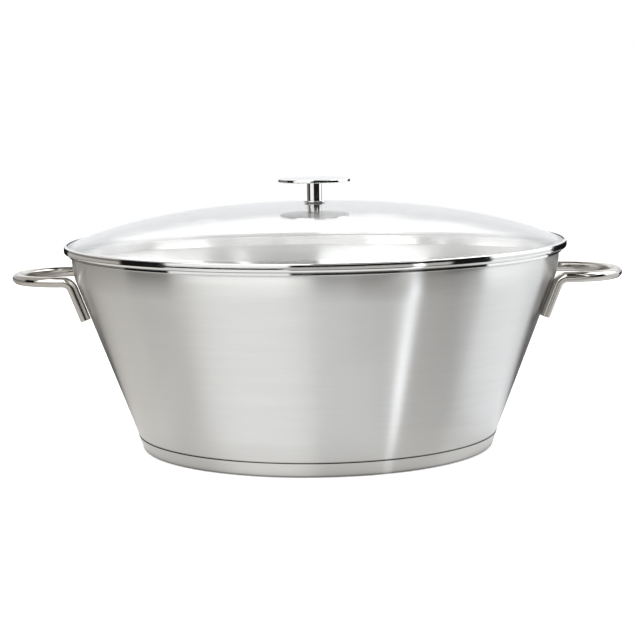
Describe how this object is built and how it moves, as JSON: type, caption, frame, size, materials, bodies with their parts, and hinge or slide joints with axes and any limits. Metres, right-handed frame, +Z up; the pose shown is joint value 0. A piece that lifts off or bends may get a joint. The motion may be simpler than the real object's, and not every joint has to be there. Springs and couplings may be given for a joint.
{
  "type": "preserving pan",
  "caption": "Wide conical steel preserving pan with a thick encapsulated base, bent-rod loop handles and a lift-off domed glass lid in a steel band with a flat disc knob.",
  "frame": {"origin": "centre of the base's standing face, on the surface that the pan stands on", "axes": "+Z up along the pan's axis, +X through the right-hand handle as the picture shows it, +Y away from the viewer"},
  "size_m": [0.441, 0.3608, 0.1923],
  "materials": {
    "brushed_steel": "stainless steel sheet, satin, brushed round the pan's axis",
    "polished_steel": "stainless steel, polished to a mirror",
    "aluminium": "raw rolled disc, hidden inside the base",
    "clear_glass": "clear tempered soda-lime glass, polished",
    "grey_silicone": "moulded silicone, matt"
  },
  "bodies": {
    "pan": {"base_cap": "brushed_steel", "base_core": "aluminium", "pan_body": "brushed_steel", "handle_left": "polished_steel", "handle_right": "polished_steel"},
    "lid": {"lid_band": "polished_steel", "lid_glass": "clear_glass", "knob_disc": "polished_steel", "knob_stem": "polished_steel", "knob_collar": "polished_steel", "knob_upper_seal": "grey_silicone", "knob_lower_seal": "grey_silicone", "knob_washer": "brushed_steel", "knob_screw": "brushed_steel"}
  },
  "joints": [
    {"name": "lid_lift", "type": "slide", "parent": "pan", "child": "lid", "axis": [0, 0, 1], "range_m": [0, 0.2]}
  ]
}
